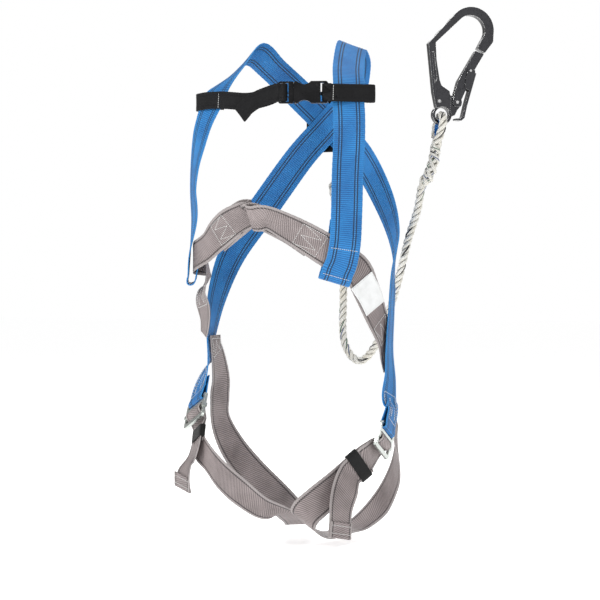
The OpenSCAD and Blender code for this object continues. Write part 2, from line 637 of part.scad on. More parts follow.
module hook_gate() {
    color(gunmetal) in_hook() difference() {
        slab(gate_t) difference() {
            union() {
                polygon([nose_inner + [-2.6, -3], nose_outer + [-1.4, -1.8], [49.9, 67.3],
                    gate_pivot + [6, 3], gate_pivot + [-7, 4], [24, 50]]);
                translate(gate_pivot) circle(7);
            }
        }
        slab(6.1) translate(gate_pivot) circle(23);
        translate([gate_pivot[0], gate_pivot[1], -10]) cylinder(d = 5 + 2 * clear, h = 20);
        translate([lever_pivot[0], lever_pivot[1], -10]) cylinder(d = 4, h = 20);
    }
}
module hook_lever() {
    color(gunmetal) in_hook() difference() {
        union() {
            for (z = [-1, 1]) translate([0, 0, z * (gate_t / 2 + 0.9)]) slab(1.6)
                polygon([lever_pivot + [-4.6, 3], lever_pivot + [6.8, 0.6], [50, 58], [43, 34.8],
                    [33.6, 40.6]]);
            slab(gate_t + 3.4) polygon([[51.6, 61.5], [43.4, 34], [37.6, 14], [33.6, -4], [29, -8], [20, -7.4],
                [20, -5], [27.6, -5], [30.6, -1.4], [34.8, 16], [40.6, 36], [48.8, 62.6]]);
        }
        translate([lever_pivot[0], lever_pivot[1], -10]) cylinder(d = 4 + 2 * clear, h = 20);
    }
}
module rivet(place, d, length) {
    color(zinc) in_hook() translate([place[0], place[1], -length / 2]) cylinder(d = d, h = length);
}
module gate_rivet() { rivet(gate_pivot, 5, gate_t + 1.2); }
module lever_rivet() { rivet(lever_pivot, 4, gate_t + 5); }
module body_rivet() { rivet([-4.9, 20], 5, hook_t + 1.2); }
module coil(turns, r, pitch, wire) {
    cord([for (i = [0 : turns * 6]) [[r * cos(i * 60), r * sin(i * 60), pitch * i / 6], [0, 0, 1]]], wire, 6);
}
module gate_spring() {
    color(zinc) in_hook() translate([gate_pivot[0] + 4.4, gate_pivot[1] + 10.2, 0])
        rotate([-90, 0, -21]) coil(4, 1.6, 1.7, 0.7);
}
module lever_spring() {
    color(zinc) in_hook() translate([42.6, 49.6, 0]) rotate([0, 90, -24]) coil(2, 1.3, 0.5, 0.4);
}

shoulder_strap_left();
shoulder_strap_right();
chest_loop_left();
chest_loop_right();
leg_strap_left();
leg_strap_right();
chest_tie_left();
chest_tie_right();
chest_tie_run();
blank_label();
buckle_shell();
buckle_plug();
buckle_arm(1);  // buckle_arm_upper
buckle_arm(-1);  // buckle_arm_lower
leg_buckle_frame(1);  // leg_buckle_frame_left
leg_buckle_frame(-1);  // leg_buckle_frame_right
leg_buckle_bar(1);  // leg_buckle_bar_left
leg_buckle_bar(-1);  // leg_buckle_bar_right
strap_keeper(1);  // strap_keeper_left
strap_keeper(-1);  // strap_keeper_right
dorsal_plate();
dorsal_ring();
link_body();
link_gate();
link_gate_pin();
link_sleeve();
lanyard_rope();
thimble_hook_end();
thimble_link_end();
hook_body();
hook_gate();
hook_lever();
gate_rivet();
lever_rivet();
body_rivet();
gate_spring();
lever_spring();
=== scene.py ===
"""Looks of the safety harness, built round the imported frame: webbing, thread, laid rope, metal. Metres."""
import itertools
import json
import math
import random
from collections import defaultdict

import bmesh
import bpy
import numpy as np
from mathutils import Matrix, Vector

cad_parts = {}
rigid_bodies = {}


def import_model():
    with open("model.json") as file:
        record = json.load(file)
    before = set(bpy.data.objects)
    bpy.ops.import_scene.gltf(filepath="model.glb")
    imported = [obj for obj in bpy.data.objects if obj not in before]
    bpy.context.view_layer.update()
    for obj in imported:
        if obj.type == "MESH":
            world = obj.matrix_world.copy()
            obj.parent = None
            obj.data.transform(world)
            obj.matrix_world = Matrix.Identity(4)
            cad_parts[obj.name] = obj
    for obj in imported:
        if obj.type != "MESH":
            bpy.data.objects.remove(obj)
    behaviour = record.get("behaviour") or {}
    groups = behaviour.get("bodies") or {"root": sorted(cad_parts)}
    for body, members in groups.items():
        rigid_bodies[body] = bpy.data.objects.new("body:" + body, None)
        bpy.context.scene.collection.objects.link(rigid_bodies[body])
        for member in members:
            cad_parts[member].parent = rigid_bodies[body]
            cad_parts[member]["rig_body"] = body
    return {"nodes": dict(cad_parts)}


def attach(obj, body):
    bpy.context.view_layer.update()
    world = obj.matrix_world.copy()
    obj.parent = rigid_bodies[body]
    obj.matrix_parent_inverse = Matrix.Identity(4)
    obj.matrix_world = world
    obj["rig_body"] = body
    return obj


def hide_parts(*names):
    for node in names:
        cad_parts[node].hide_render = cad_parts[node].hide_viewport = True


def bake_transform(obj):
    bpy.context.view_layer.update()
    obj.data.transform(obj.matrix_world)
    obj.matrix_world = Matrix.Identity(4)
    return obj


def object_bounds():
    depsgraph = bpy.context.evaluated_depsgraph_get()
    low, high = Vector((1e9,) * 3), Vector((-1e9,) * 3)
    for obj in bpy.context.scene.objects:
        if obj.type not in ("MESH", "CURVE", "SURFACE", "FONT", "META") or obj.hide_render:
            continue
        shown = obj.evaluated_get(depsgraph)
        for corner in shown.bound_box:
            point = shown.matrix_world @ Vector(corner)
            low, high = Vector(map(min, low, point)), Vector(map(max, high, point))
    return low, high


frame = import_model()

cad_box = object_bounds()
MM = 0.001
ROOT = "harness"
TURN = 2 * math.pi


# ---------- reading straps and ropes out of the frame ----------
def corners_of(node):
    """The distinct corners of a CAD solid, and each one's neighbours."""
    mesh = frame["nodes"][node].data
    number, points, index = {}, [], []
    for v in mesh.vertices:
        key = tuple(round(c * 1e6) for c in v.co)
        if key not in number:
            number[key] = len(points)
            points.append(v.co[:])
        index.append(number[key])
    near = defaultdict(set)
    for e in mesh.edges:
        a, b = index[e.vertices[0]], index[e.vertices[1]]
        if a != b:
            near[a].add(b)
            near[b].add(a)
    return np.array(points), near


def rows_of(node, start):
    """The rings of corners along a strap or rope, from the end that lies further along start."""
    points, near = corners_of(node)
    # a corner between two rings has six neighbours, a corner of an end has fewer or more
    ends = {i for i in near if len(near[i]) != 6}
    first = {max(ends, key=lambda i: points[i] @ np.array(start))}
    while True:
        more = {j for i in first for j in near[i] if j in ends} | first
        if more == first:
            break
        first = more
    rows, seen, row = [], set(), first
    while row:
        rows.append(sorted(row))
        seen |= row
        row = {j for i in row for j in near[i]} - seen
    return points, rows


def unit_rows(a):
    """Each row at length one."""
    return a / np.maximum(np.linalg.norm(a, axis=-1, keepdims=True), 1e-12)


class Path:
    """A centre line with a sideways and an outward direction at each station."""

    def __init__(self, centre, side, out):
        self.c, self.w, self.n = centre, side, out
        step = np.linalg.norm(np.diff(centre, axis=0), axis=1)
        self.s = np.concatenate([[0], np.cumsum(step)])
        self.length = self.s[-1]

    def at(self, s):
        """Centre, side, outward and forward directions at distances s along the path."""
        s = np.atleast_1d(np.asarray(s, float))
        slope = np.gradient(self.c, self.s, axis=0)
        i = np.clip(np.searchsorted(self.s, s, side="right") - 1, 0, len(self.s) - 2)
        h = (self.s[i + 1] - self.s[i])[:, None]
        t = ((s - self.s[i])[:, None]) / h
        a, b, da, db = self.c[i], self.c[i + 1], slope[i] * h, slope[i + 1] * h
        t2, t3 = t * t, t * t * t
        c = a * (2 * t3 - 3 * t2 + 1) + da * (t3 - 2 * t2 + t) + b * (3 * t2 - 2 * t3) + db * (t3 - t2)
        f = unit_rows(slope[i] * (1 - t) + slope[i + 1] * t)
        n = self.n[i] * (1 - t) + self.n[i + 1] * t
        n = unit_rows(n - f * (n * f).sum(1, keepdims=True))
        w = self.w[i] * (1 - t) + self.w[i + 1] * t
        w = unit_rows(w - n * (w * n).sum(1, keepdims=True))
        return c, w, n, f

    def folds(self):
        """Distances at which the strap folds back on itself."""
        step, reach, least_turn = 0.002, 0.022, 2.2
        grid = np.arange(0, self.length, step)
        n = self.at(grid)[2]
        k = int(reach / step)
        groups = []
        for i in range(k, len(grid) - k):
            angle = math.acos(max(-1, min(1, float(n[i - k] @ n[i + k]))))
            if angle <= least_turn:
                continue
            if groups and grid[i] - groups[-1][-1] < 3 * step:
                groups[-1].append(grid[i])
            else:
                groups.append([grid[i]])
        return [sum(g) / len(g) for g in groups]


def strap_path(node, start=(0, 0, 1), inside=False):
    """A strap's path. inside says that its first end shows its outward face to the wearer."""
    points, rows = rows_of(node, start)
    a = rows[0][0]
    b_out, b, a_out = sorted(rows[0][1:], key=lambda i: -np.linalg.norm(points[i] - points[a]))
    order = [[a, b, b_out, a_out]]
    for row in rows[1:]:
        last = points[order[-1]] - points[order[-1]].mean(0)
        here = points[row].mean(0)
        order.append(min(
            (list(p) for p in itertools.permutations(row)),
            key=lambda p: ((points[p] - here - last) ** 2).sum()))
    ring = points[np.array(order)]
    centre = ring.mean(1)
    side = unit_rows(ring[:, 1] - ring[:, 0] + ring[:, 2] - ring[:, 3])
    out = unit_rows(ring[:, 3] - ring[:, 0] + ring[:, 2] - ring[:, 1])
    away = centre[0] * np.array([1, 1, 0])
    if (out[0] @ away < 0) != inside:
        out = -out
    forward = np.gradient(centre, axis=0)
    halfway = len(out) // 2
    if np.cross(out[halfway], forward[halfway]) @ side[halfway] < 0:
        side = -side
    return Path(centre, side, out)


def rope_path(node):
    """A rope's path from its upper end, with directions that do not twist about it."""
    points, rows = rows_of(node, (0, 0, 1))
    centre = np.array([points[r].mean(0) for r in rows])
    forward = unit_rows(np.gradient(centre, axis=0))
    out = [unit_rows(np.cross(forward[0], [0.3, 0.9, 0.1]))]
    for f in forward[1:]:
        out.append(unit_rows(out[-1] - f * (out[-1] @ f)))
    out = np.array(out)
    return Path(centre, np.cross(forward, out), out)


def joined(a, b):
    """One path from two that follow each other."""
    return Path(*(np.concatenate([getattr(a, k), getattr(b, k)]) for k in "cwn"))


def with_hem(path, length, gap, front):
    """The path with its end folded back on itself, as a sewn hem."""
    c, w, n, f = (v[0] for v in path.at([path.length]))
    side = n * (1 if front else -1)
    bend, flat = (0.8, 1.6, 2.4, math.pi), 6
    turn = [c + f * (gap * math.sin(a)) + side * gap * (1 - math.cos(a)) for a in bend]
    outs = [n * math.cos(a) - f * math.sin(a) * (1 if front else -1) for a in bend]
    back = [turn[-1] - f * length * k / flat for k in range(1, flat + 1)]
    centre = np.concatenate([path.c, turn, back])
    out = np.concatenate([path.n, outs, [-n] * flat])
    side_rows = np.concatenate([path.w, [w] * (len(bend) + flat)])
    return Path(centre, side_rows, out)


# ---------- meshes ----------
def add_object(name, vertices, faces, material, uv=None):
    """A smooth-shaded object. uv holds one place for each vertex."""
    mesh = bpy.data.meshes.new(name)
    mesh.from_pydata([tuple(v) for v in vertices], [], faces)
    mesh.validate()
    if uv is not None:
        layer = mesh.uv_layers.new(name="weave")
        loop_vertex = np.zeros(len(mesh.loops), np.int32)
        mesh.loops.foreach_get("vertex_index", loop_vertex)
        layer.data.foreach_set("uv", np.asarray(uv, np.float32)[loop_vertex].ravel())
    mesh.polygons.foreach_set("use_smooth", [True] * len(mesh.polygons))
    mesh.materials.append(material)
    obj = bpy.data.objects.new(name, mesh)
    bpy.context.scene.collection.objects.link(obj)
    return obj


def tube_faces(rows, sides):
    """The quads of an open tube whose rings hold sides vertices each."""
    grid = np.arange(rows * sides).reshape(rows, sides)
    a, b = grid[:-1], grid[1:]
    quads = np.stack([a, np.roll(a, -1, 1), np.roll(b, -1, 1), b], -1).reshape(-1, 4)
    return quads.tolist()


def profile(width, lines, line_half, ridge):
    """Places across a strap and how far each stands proud, in mm."""
    half, selvedge = width / 2, 2.4
    clear_of_line = line_half * 2.4
    rise = {}
    for u in np.arange(selvedge - half, half - selvedge + 0.1, (width - 2 * selvedge) / 10):
        if all(abs(abs(u) - p) > clear_of_line for p in lines):
            rise[round(float(u), 3)] = 0.0
    for p in lines:
        for sign in (-1, 1):
            for k, r in ((-1.7, 0), (-1, ridge), (1, ridge), (1.7, 0)):
                rise[round(sign * (p + k * line_half), 3)] = r
    for sign in (-1, 1):
        for inset, drop in ((0, -0.62), (0.25, -0.25), (0.8, 0.0), (1.5, 0.05)):
            rise[round(sign * (half - inset), 3)] = drop
    places = sorted(rise)
    return np.array(places), np.array([rise[p] for p in places])


def slow_wave(s, seed, scale):
    """A smooth unsteady wave between about -1 and 1."""
    draw = random.Random(seed)
    total = np.zeros_like(s)
    for k in range(4):
        height = math.sin(draw.random() * 6)
        total += height * np.sin(s / scale * (0.6 + 0.55 * k) + draw.random() * 6.3)
    return total / 2


def webbing(name, path, look, thickness=1.6, rib=2.9, rib_height=0.11, cup=0.5, wobble=0.5):
    """A woven strap with ribs, tracer ridges and rounded selvedges. Sizes are in mm."""
    width, lines, line_half, ridge, material = look
    still_end = 0.01
    s = np.linspace(0.0, path.length, int(path.length / (rib * MM / 2)) + 1)
    c, w, n, _ = path.at(s)
    u, rise = profile(width, lines, line_half, ridge)
    across = u / (width / 2)
    seed = sum(map(ord, name))
    ends = np.minimum(1, np.minimum(s, path.length - s) / still_end)
    bend = (slow_wave(s, seed, 0.035) * cup * ends)[:, None] * (across ** 2 - 0.35)[None]
    shift = slow_wave(s, seed + 1, 0.05) * wobble * ends
    # the ribs stop short of the selvedge, and only its outermost yarns wander
    ribbed, frayed = np.abs(across) < 0.94, np.abs(across) > 0.97
    ripple = np.where(np.arange(len(s)) % 2 == 0, 1, -1)[:, None] * rib_height * ribbed[None]
    fray = 0.12 * np.sin(s / (rib * MM) * math.pi * 0.73)[:, None] * frayed[None]
    upper = thickness / 2 + rise[None] + ripple + bend
    lower = -thickness / 2 - rise[None] - ripple + bend
    side = (u[None] + shift[:, None] + fray * np.sign(u)[None]) * MM
    base = c[:, None] + w[:, None] * side[..., None]
    top = base + n[:, None] * (upper * MM)[..., None]
    low = base + n[:, None] * (lower * MM)[..., None]
    ring = np.concatenate([top, low[:, ::-1]], 1)
    k = len(u)
    faces = tube_faces(len(s), 2 * k)
    for row, turned in ((0, False), (len(s) - 1, True)):
        for i in range(k - 1):
            quad = [row * 2 * k + j for j in (i, i + 1, 2 * k - 2 - i, 2 * k - 1 - i)]
            faces.append(quad if turned else quad[::-1])
    uv = np.zeros((len(s), 2 * k, 2))
    uv[..., 0] = np.concatenate([u, u[::-1]])[None] * MM
    uv[..., 1] = s[:, None]
    return add_object(name, ring.reshape(-1, 3), faces, material, uv.reshape(-1, 2))


class Seams:
    """Stitches, each a small arched grain of thread, gathered into one object."""

    # along a stitch: place, thickness and height over the cloth in mm
    GRAIN = ((0, 0.25, -0.1), (0.25, 0.9, 0.14), (0.5, 1, 0.22), (0.75, 0.9, 0.14), (1, 0.25, -0.1))
    SIDES = 6

    def __init__(self, path, thickness=1.6):
        self.path, self.half = path, thickness / 2
        self.vertices, self.faces = [], []

    def point(self, u, s, lift, sign):
        """A place over the strap's face, u mm off its middle and s along it."""
        c, w, n, _ = (v[0] for v in self.path.at([s]))
        return c + w * u * MM + n * sign * (self.half + lift) * MM

    def line(self, a, b, sign=1, stitch=3.0, radius=0.46):
        """Stitches from (u in mm, s in m) a to b, on the outward face or, with sign -1, the other."""
        length = math.hypot((b[0] - a[0]) * MM, b[1] - a[1]) / MM
        count = max(1, round(length / stitch))
        for i in range(count):
            t0, t1 = (i + 0.1) / count, (i + 0.9) / count
            ring = []
            for t, r, lift in self.GRAIN:
                q = t0 + (t1 - t0) * t
                u, s = a[0] + (b[0] - a[0]) * q, a[1] + (b[1] - a[1]) * q
                ring.append((self.point(u, s, lift, sign), r * radius * MM))
            axis = unit_rows(ring[-1][0] - ring[0][0])
            up = unit_rows(np.cross(axis, [0.31, 0.77, 0.55]))
            side = np.cross(axis, up)
            base = len(self.vertices)
            angles = np.arange(self.SIDES) * math.pi / (self.SIDES / 2)
            for p, r in ring:
                self.vertices += [p + (up * math.cos(x) + side * math.sin(x)) * r for x in angles]
            last = base + (len(ring) - 1) * self.SIDES
            self.faces += [[base + j for j in f] for f in tube_faces(len(ring), self.SIDES)]
            self.faces.append([base + j for j in range(self.SIDES - 1, -1, -1)])
            self.faces.append([last + j for j in range(self.SIDES)])

    def across(self, s, half, sign=1, **thread_size):
        """A row of stitches across the strap."""
        self.line((-half, s), (half, s), sign, **thread_size)

    def box(self, s, length, half, sign=1):
        """A sewn box with a zigzag inside."""
        for u in (-half, half):
            self.line((u, s), (u, s + length), sign)
        for end in (s, s + length):
            self.across(end, half, sign)
        low, high = s + length * 0.12, s + length * 0.88
        steps = 4
        for i in range(steps):
            ua, ub = (-half + 2 * half * k / steps for k in (i, i + 1))
            sa, sb = (low, high) if i % 2 == 0 else (high, low)
            self.line((ua, sa), (ub, sb), sign)

    def build(self, name, material):
        return add_object(name, self.vertices, self.faces, material)


# ---------- materials ----------
class Graph:
    """A material under construction."""

    def __init__(self, name):
        self.material = bpy.data.materials.new(name)
        self.material.use_nodes = True
        self.tree = self.material.node_tree
        self.tree.nodes.clear()
        self.shader = self.add("ShaderNodeBsdfPrincipled")
        self.tree.links.new(self.shader.outputs[0], self.add("ShaderNodeOutputMaterial").inputs[0])
        self.place = self.add("ShaderNodeTexCoord").outputs["Object"]

    def add(self, kind, **settings):
        """A new node with its settings."""
        node = self.tree.nodes.new(kind)
        for key, value in settings.items():
            setattr(node, key, value)
        return node

    def put(self, socket, value):
        """Feeds a socket from another socket or with a plain value."""
        if isinstance(value, bpy.types.NodeSocket):
            self.tree.links.new(value, socket)
        else:
            socket.default_value = value

    def math(self, operation, *values):
        node = self.add("ShaderNodeMath", operation=operation)
        for socket, value in zip(node.inputs, values):
            self.put(socket, value)
        return node.outputs[0]

    def mix(self, factor, a, b):
        node = self.add("ShaderNodeMix", data_type="RGBA")
        self.put(node.inputs[0], factor)
        for socket, value in ((node.inputs[6], a), (node.inputs[7], b)):
            self.put(socket, value if isinstance(value, bpy.types.NodeSocket) else (*value, 1))
        return node.outputs[2]

    def ramp(self, value, low, high, to_low=0.0, to_high=1.0):
        """A smooth step from to_low at low to to_high at high."""
        node = self.add("ShaderNodeMapRange", interpolation_type="SMOOTHSTEP")
        for socket, v in zip(node.inputs, (value, low, high, to_low, to_high)):
            self.put(socket, v)
        return node.outputs[0]

    def noise(self, scale, detail, vector=None):
        node = self.add("ShaderNodeTexNoise")
        self.put(node.inputs["Vector"], vector or self.place)
        node.inputs["Scale"].default_value = scale
        node.inputs["Detail"].default_value = detail
        return node.outputs["Fac"]

    def weave_place(self):
        """Places across and along a strap, in mm."""
        uv = self.add("ShaderNodeUVMap", uv_map="weave")
        split = self.add("ShaderNodeSeparateXYZ")
        self.tree.links.new(uv.outputs[0], split.inputs[0])
        return self.math("MULTIPLY", split.outputs[0], 1000), self.math("MULTIPLY", split.outputs[1], 1000)

    def finish(self, colour, roughness, height, depth, **values):
        """Joins colour, roughness and a bump of the given depth to the shader."""
        self.put(self.shader.inputs["Base Color"], colour)
        self.put(self.shader.inputs["Roughness"], roughness)
        for key, value in values.items():
            self.put(self.shader.inputs[key.replace("_", " ")], value)
        bump = self.add("ShaderNodeBump")
        bump.inputs["Distance"].default_value = depth
        self.put(bump.inputs["Height"], height)
        self.tree.links.new(bump.outputs[0], self.shader.inputs["Normal"])
        return self.material


def woven(name, ground, light, line, places, line_half, rib=2.9, dash=0.0, edge=None, dots=None, yarn=1.0,
          slant=0.0, sheen=0.12, gloss=0.4):
    """Webbing: ribs across, yarns along, tracer lines, a lighter selvedge and slow changes of tone.

    places are the lines' distances off the middle, edge and dots a distance with a colour, all in mm.
    """
    g = Graph(name)
    u, v = g.weave_place()
    side = g.math("ABSOLUTE", u)
    along = g.math("ADD", v, g.math("MULTIPLY", u, slant)) if slant else v
    wave = g.math("SINE", g.math("MULTIPLY", along, TURN / rib))
    lean = g.math("ADD", u, g.math("MULTIPLY", v, 0.5))
    yarns = g.math("SINE", g.math("MULTIPLY", lean, TURN / yarn))
    pattern = g.math("ADD", g.math("MULTIPLY", wave, 0.42), g.math("MULTIPLY", yarns, 0.25))
    tone = g.math("ADD", pattern, g.math("MULTIPLY", g.noise(26, 2), 1.3))
    colour = g.mix(g.ramp(tone, 0.1, 1.25), ground, light)
    fuzz = g.noise(2600, 2)
    if edge:
        colour = g.mix(g.ramp(side, edge[0], edge[0] + 0.8, 0, 0.75), colour, edge[1])
    # the tracer lines, broken into dashes where their yarn dives under
    mask = 0.0
    for p in places:
        away = g.math("ABSOLUTE", g.math("SUBTRACT", side, p))
        here = g.ramp(away, line_half, line_half + 0.35, 1, 0)
        mask = g.math("MAXIMUM", mask, here)
    if dash:
        gap = g.math("SINE", g.math("MULTIPLY", v, TURN / dash))
        mask = g.math("MULTIPLY", mask, g.ramp(gap, -0.95, -0.45, 0.35, 1))
    colour = g.mix(mask, colour, line)
    if dots:
        away = g.math("ABSOLUTE", g.math("SUBTRACT", side, dots[0]))
        here = g.math("MULTIPLY", g.ramp(away, 0.3, 0.7, 1, 0), g.ramp(wave, 0.1, 0.6))
        colour = g.mix(g.math("MULTIPLY", here, 0.75), colour, dots[1])
    colour = g.mix(g.ramp(fuzz, 0.35, 0.8, 0, 0.22), colour, [min(1, c * 1.7 + 0.03) for c in light])
    height = g.math("ADD", pattern, g.math("MULTIPLY", fuzz, 0.25))
    rough = g.ramp(g.math("ADD", fuzz, pattern), 0, 1.2, 0.42, 0.66)
    material = g.finish(colour, rough, height, 0.00022, Sheen_Weight=sheen, Sheen_Roughness=0.4)
    g.put(g.shader.inputs["Specular IOR Level"], gloss)
    g.put(g.shader.inputs["Sheen Tint"], (*[min(1, c * 1.5 + 0.1) for c in light], 1))
    return material


def metal(name, colour, worn, roughness, grain=900, pits=0.5, metallic=1.0):
    """Plated or anodised metal: patchy tone, fine scratches and small pits."""
    g = Graph(name)
    patch = g.noise(70, 4)
    stretched = g.add("ShaderNodeMapping")
    stretched.inputs["Scale"].default_value = (1, 1, 0.08)
    g.put(stretched.inputs[0], g.place)
    scratch = g.noise(grain, 2, stretched.outputs[0])
    spots = g.ramp(g.noise(grain * 1.4, 1), 0.62, 0.72)
    tone = g.mix(g.ramp(patch, 0.35, 0.7, 0, 0.45), colour, worn)
    tone = g.mix(g.ramp(scratch, 0.6, 0.75, 0, 0.35), tone, worn)
    base_rough = g.ramp(patch, 0.3, 0.7, roughness - 0.08, roughness + 0.08)
    rough = g.math("ADD", base_rough, g.math("MULTIPLY", spots, 0.12))
    height = g.math("ADD", g.math("MULTIPLY", scratch, 0.5), g.math("MULTIPLY", spots, -pits))
    return g.finish(tone, rough, height, 0.00006, Metallic=metallic)


def moulded(name, colour, light, roughness, gloss=0.5):
    """Moulded plastic: a fine spark-eroded grain, faint flow lines and scuffs."""
    g = Graph(name)
    skin = g.noise(1500, 2)
    flow = g.noise(45, 3)
    scuff = g.ramp(g.noise(240, 4), 0.6, 0.75, 0, 0.4)
    tone = g.mix(g.ramp(flow, 0.35, 0.7, 0, 0.6), colour, light)
    tone = g.mix(scuff, tone, [c * 1.8 + 0.01 for c in light])
    base_rough = g.ramp(skin, 0.3, 0.7, roughness - 0.05, roughness + 0.08)
    rough = g.math("ADD", base_rough, g.math("MULTIPLY", scuff, 0.1))
    return g.finish(tone, rough, skin, 0.00006, Specular_IOR_Level=gloss)


def thread(name, colour, shade):
    """Twisted polyester thread."""
    g = Graph(name)
    twist = g.noise(1800, 2)
    tone = g.mix(g.ramp(twist, 0.35, 0.65), shade, colour)
    return g.finish(tone, g.ramp(twist, 0.3, 0.7, 0.5, 0.7), twist, 0.0001, Sheen_Weight=0.2)


def cloth_label(name):
    """A blank, slightly soiled white label of fine cloth."""
    g = Graph(name)
    u, v = g.weave_place()
    pitch = 0.5
    warp = g.math("SINE", g.math("MULTIPLY", u, TURN / pitch))
    weft = g.math("SINE", g.math("MULTIPLY", v, TURN / pitch))
    cross = g.math("MULTIPLY", warp, weft)
    soil = g.ramp(g.noise(60, 4), 0.35, 0.75, 0, 0.5)
    tone = g.mix(soil, (0.86, 0.87, 0.87), (0.66, 0.67, 0.66))
    tone = g.mix(g.ramp(cross, -0.5, 1, 0, 0.16), tone, (0.55, 0.56, 0.56))
    return g.finish(tone, g.ramp(cross, -1, 1, 0.42, 0.56), cross, 0.00005)


def laid_yarn(name, tracers=()):
    """A rope strand: yarns that lie along the rope, tracer yarns that surface as short dashes, and painted
    shade where it dips between its neighbours.
    """
    g = Graph(name)
    uv = g.add("ShaderNodeUVMap", uv_map="weave")
    split = g.add("ShaderNodeSeparateXYZ")
    g.tree.links.new(uv.outputs[0], split.inputs[0])
    around, along = split.outputs[0], split.outputs[1]
    pitch, yarns = 0.027, 9
    lay = g.math("ADD", around, g.math("MULTIPLY", along, 1 / pitch))
    yarn = g.math("SINE", g.math("MULTIPLY", lay, TURN * yarns))
    fibre = g.noise(1500, 3)
    dirt = g.ramp(g.noise(38, 4), 0.4, 0.75, 0, 0.5)
    tone = g.mix(g.ramp(yarn, -1, 0.6), (0.52, 0.50, 0.44), (0.86, 0.85, 0.8))
    tone = g.mix(dirt, tone, (0.66, 0.6, 0.47))
    # painted shade: the strand is darkened away from its crown, where it dips between its neighbours
    crown = g.math("ABSOLUTE", g.math("SUBTRACT", around, 0.5))
    tone = g.mix(g.ramp(crown, 0.14, 0.3, 0, 0.85), tone, (0.20, 0.185, 0.15))
    for centre, half, colour in tracers:
        turn = g.math("FRACT", g.math("ADD", lay, centre))
        away = g.math("ABSOLUTE", g.math("SUBTRACT", turn, 0.5))
        tone = g.mix(g.ramp(away, half, half + 0.012, 1, 0), tone, colour)
    height = g.math("ADD", g.math("MULTIPLY", yarn, 0.5), g.math("MULTIPLY", fibre, 0.5))
    return g.finish(tone, g.ramp(fibre, 0.3, 0.7, 0.5, 0.72), height, 0.00035, Sheen_Weight=0.3)


# Widths and thicknesses of webbing are in mm, and so are the places of its lines off the middle
BLUE_LINES = (10.6, 14.6)
GREY_LINES = (17.4,)
BLACK_LINES = (7.5,)
GREY_RIB = 3.1
BLACK_RIB = 1.7
NO_LINE_SEEN = (30.0,)  # beyond the edge of the band

blue = woven("blue_webbing", (0.002, 0.07, 0.25), (0.02, 0.225, 0.56), (0.003, 0.006, 0.018),
             BLUE_LINES, 0.72, edge=(21.4, (0.02, 0.22, 0.52)), dots=(12.6, (0.10, 0.34, 0.62)))
grey = woven("grey_webbing", (0.085, 0.068, 0.068), (0.34, 0.29, 0.285), (0.004, 0.003, 0.004),
             GREY_LINES, 0.9, rib=GREY_RIB, dash=3.2, edge=(18.8, (0.33, 0.305, 0.30)), yarn=0.9, slant=0.4)
black = woven("black_webbing", (0.0022, 0.0022, 0.0026), (0.010, 0.010, 0.011), (0.004, 0.004, 0.005),
              BLACK_LINES, 0.5, rib=BLACK_RIB, yarn=0.9, sheen=0.03, gloss=0.14)
white_thread = thread("white_thread", (0.82, 0.82, 0.8), (0.5, 0.5, 0.49))
label_cloth = cloth_label("label_cloth")
plastic = moulded("black_plastic", (0.004, 0.004, 0.0045), (0.011, 0.011, 0.012), 0.3, gloss=0.22)
elastic = woven("keeper_elastic", (0.002, 0.002, 0.002), (0.008, 0.008, 0.008), (0.01, 0.01, 0.01),
                NO_LINE_SEEN, 0.5, rib=1.3, yarn=1.3, sheen=0.02, gloss=0.2)
zinc = metal("zinc_steel", (0.50, 0.53, 0.50), (0.74, 0.77, 0.73), 0.3)
bright = metal("bright_edge", (0.62, 0.62, 0.61), (0.85, 0.85, 0.84), 0.24)
rivet_steel = metal("rivet_steel", (0.18, 0.18, 0.18), (0.36, 0.36, 0.36), 0.34)
gunmetal = metal("dark_alloy", (0.008, 0.008, 0.0095), (0.032, 0.032, 0.035), 0.27,
                 grain=700, pits=0.9, metallic=0.8)
thimble_blue = moulded("blue_plastic", (0.008, 0.10, 0.34), (0.02, 0.17, 0.5), 0.34)

# A kind of webbing: width, places of its lines, half a line's width, the line's ridge, material
BLUE = (45, BLUE_LINES, 0.65, 0.12, blue)
GREY = (45, GREY_LINES, 0.75, 0.14, grey)
BLACK = (25, BLACK_LINES, 0.6, 0.08, black)
LABEL = (41, (), 0.5, 0.0, label_cloth)


# ---------- straps ----------
def place(obj, body, slot, *nodes):
    """Puts an object on its body in place of CAD nodes. slot is not used."""
    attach(obj, body)
    if nodes:
        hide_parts(*nodes)


def sew(seams, name, body=ROOT):
    """Makes the stitches one object on its body."""
    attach(seams.build(name, white_thread), body)


def shoulder_strap(node):
    """A blue strap, sewn behind its front fold and over the fold at the leg buckle."""
    path = strap_path(node, inside=True)
    place(webbing(node + "_web", path, BLUE), ROOT, "blue_webbing", node)
    folds = path.folds()
    seams = Seams(path)
    for offset in (0.012, 0.052):
        seams.across(folds[0] + offset, 19.5)
    seams.box(folds[-1] - 0.060, 0.042, 17)
    sew(seams, node + "_stitching")


def grey_web(node, path):
    """Grey webbing in place of a node."""
    place(webbing(node + "_web", path, GREY, rib=GREY_RIB, rib_height=0.05), ROOT, "grey_webbing", node)


def chest_loop(node, near_fold, near_end):
    """A grey loop with two sewn boxes. A box: distance from the fold or the end, length, face."""
    path = strap_path(node, inside=True)
    grey_web(node, path)
    seams = Seams(path)
    for origin, (distance, length, sign) in ((path.folds()[0], near_fold), (path.length, near_end)):
        seams.box(origin + distance, length, 16.5, sign)
    sew(seams, node + "_stitching")


HEM = 0.021
HEM_GAP = 0.0011


def lapped(path, length, drop):
    """The path begun further back, where it lies under the strap it is sewn to."""
    c, w, n, f = (v[0] for v in path.at([0.0]))
    early = [c - f * length * k - n * drop for k in (1, 0.8, 0.6, 0.4)]
    count = len(early)
    return Path(np.concatenate([early, path.c]), np.concatenate([[w] * count, path.w]),
                np.concatenate([[n] * count, path.n]))


